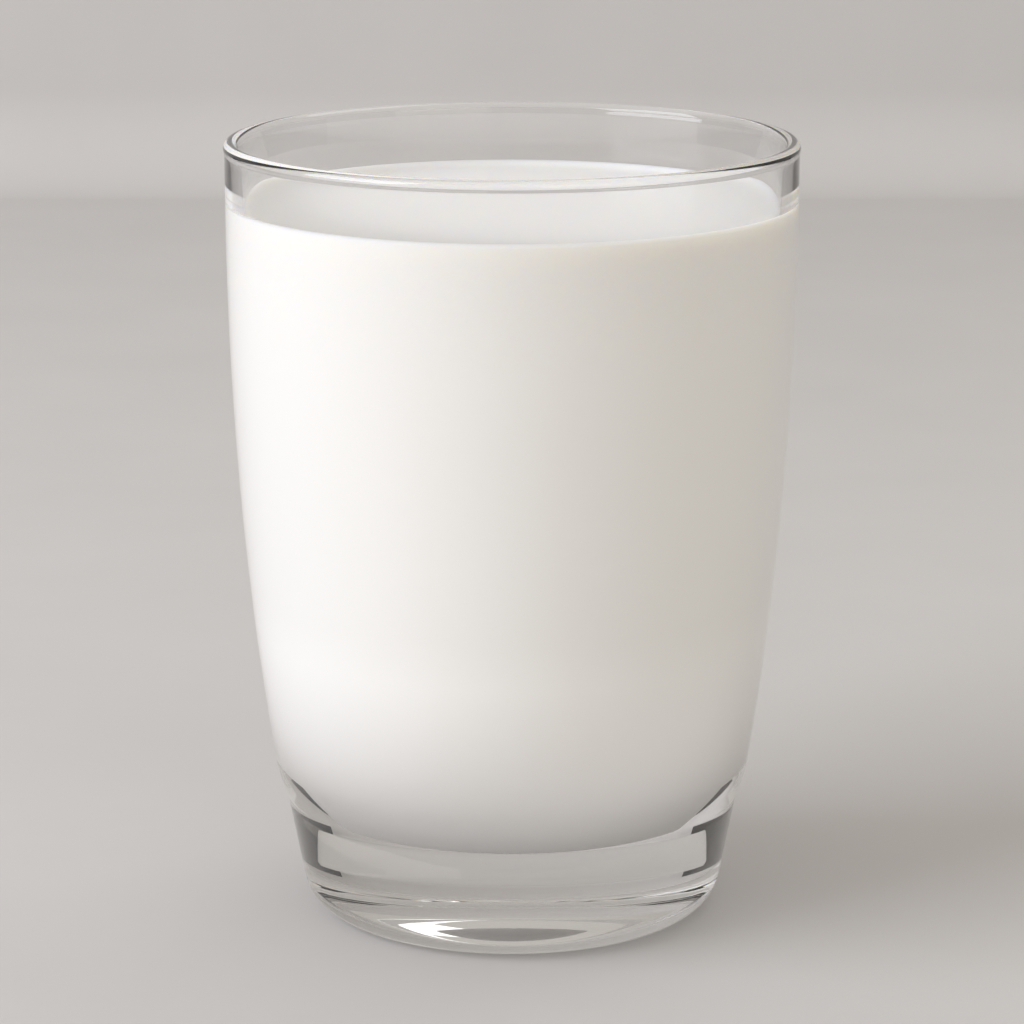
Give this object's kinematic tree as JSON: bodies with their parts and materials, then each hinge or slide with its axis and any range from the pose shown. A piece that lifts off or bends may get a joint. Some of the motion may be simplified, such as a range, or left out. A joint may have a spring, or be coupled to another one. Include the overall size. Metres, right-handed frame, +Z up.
{
  "type": "glass of milk",
  "caption": "Heavy-based clear drinking glass, barrel-shaped with a beaded lip, filled nearly to the brim with white milk.",
  "frame": {"origin": "centre of the foot on the surface it stands on", "axes": "+Z up along the axis of the glass; the glass and milk are turned shapes, so X and Y are free choices"},
  "size_m": [0.08, 0.08, 0.1102],
  "materials": {
    "clear_glass": "clear, smooth, fire-polished",
    "milk": "opaque warm-white liquid with a soft sheen"
  },
  "bodies": {
    "root": {"tumbler": "clear_glass", "milk": "milk"}
  },
  "joints": []
}
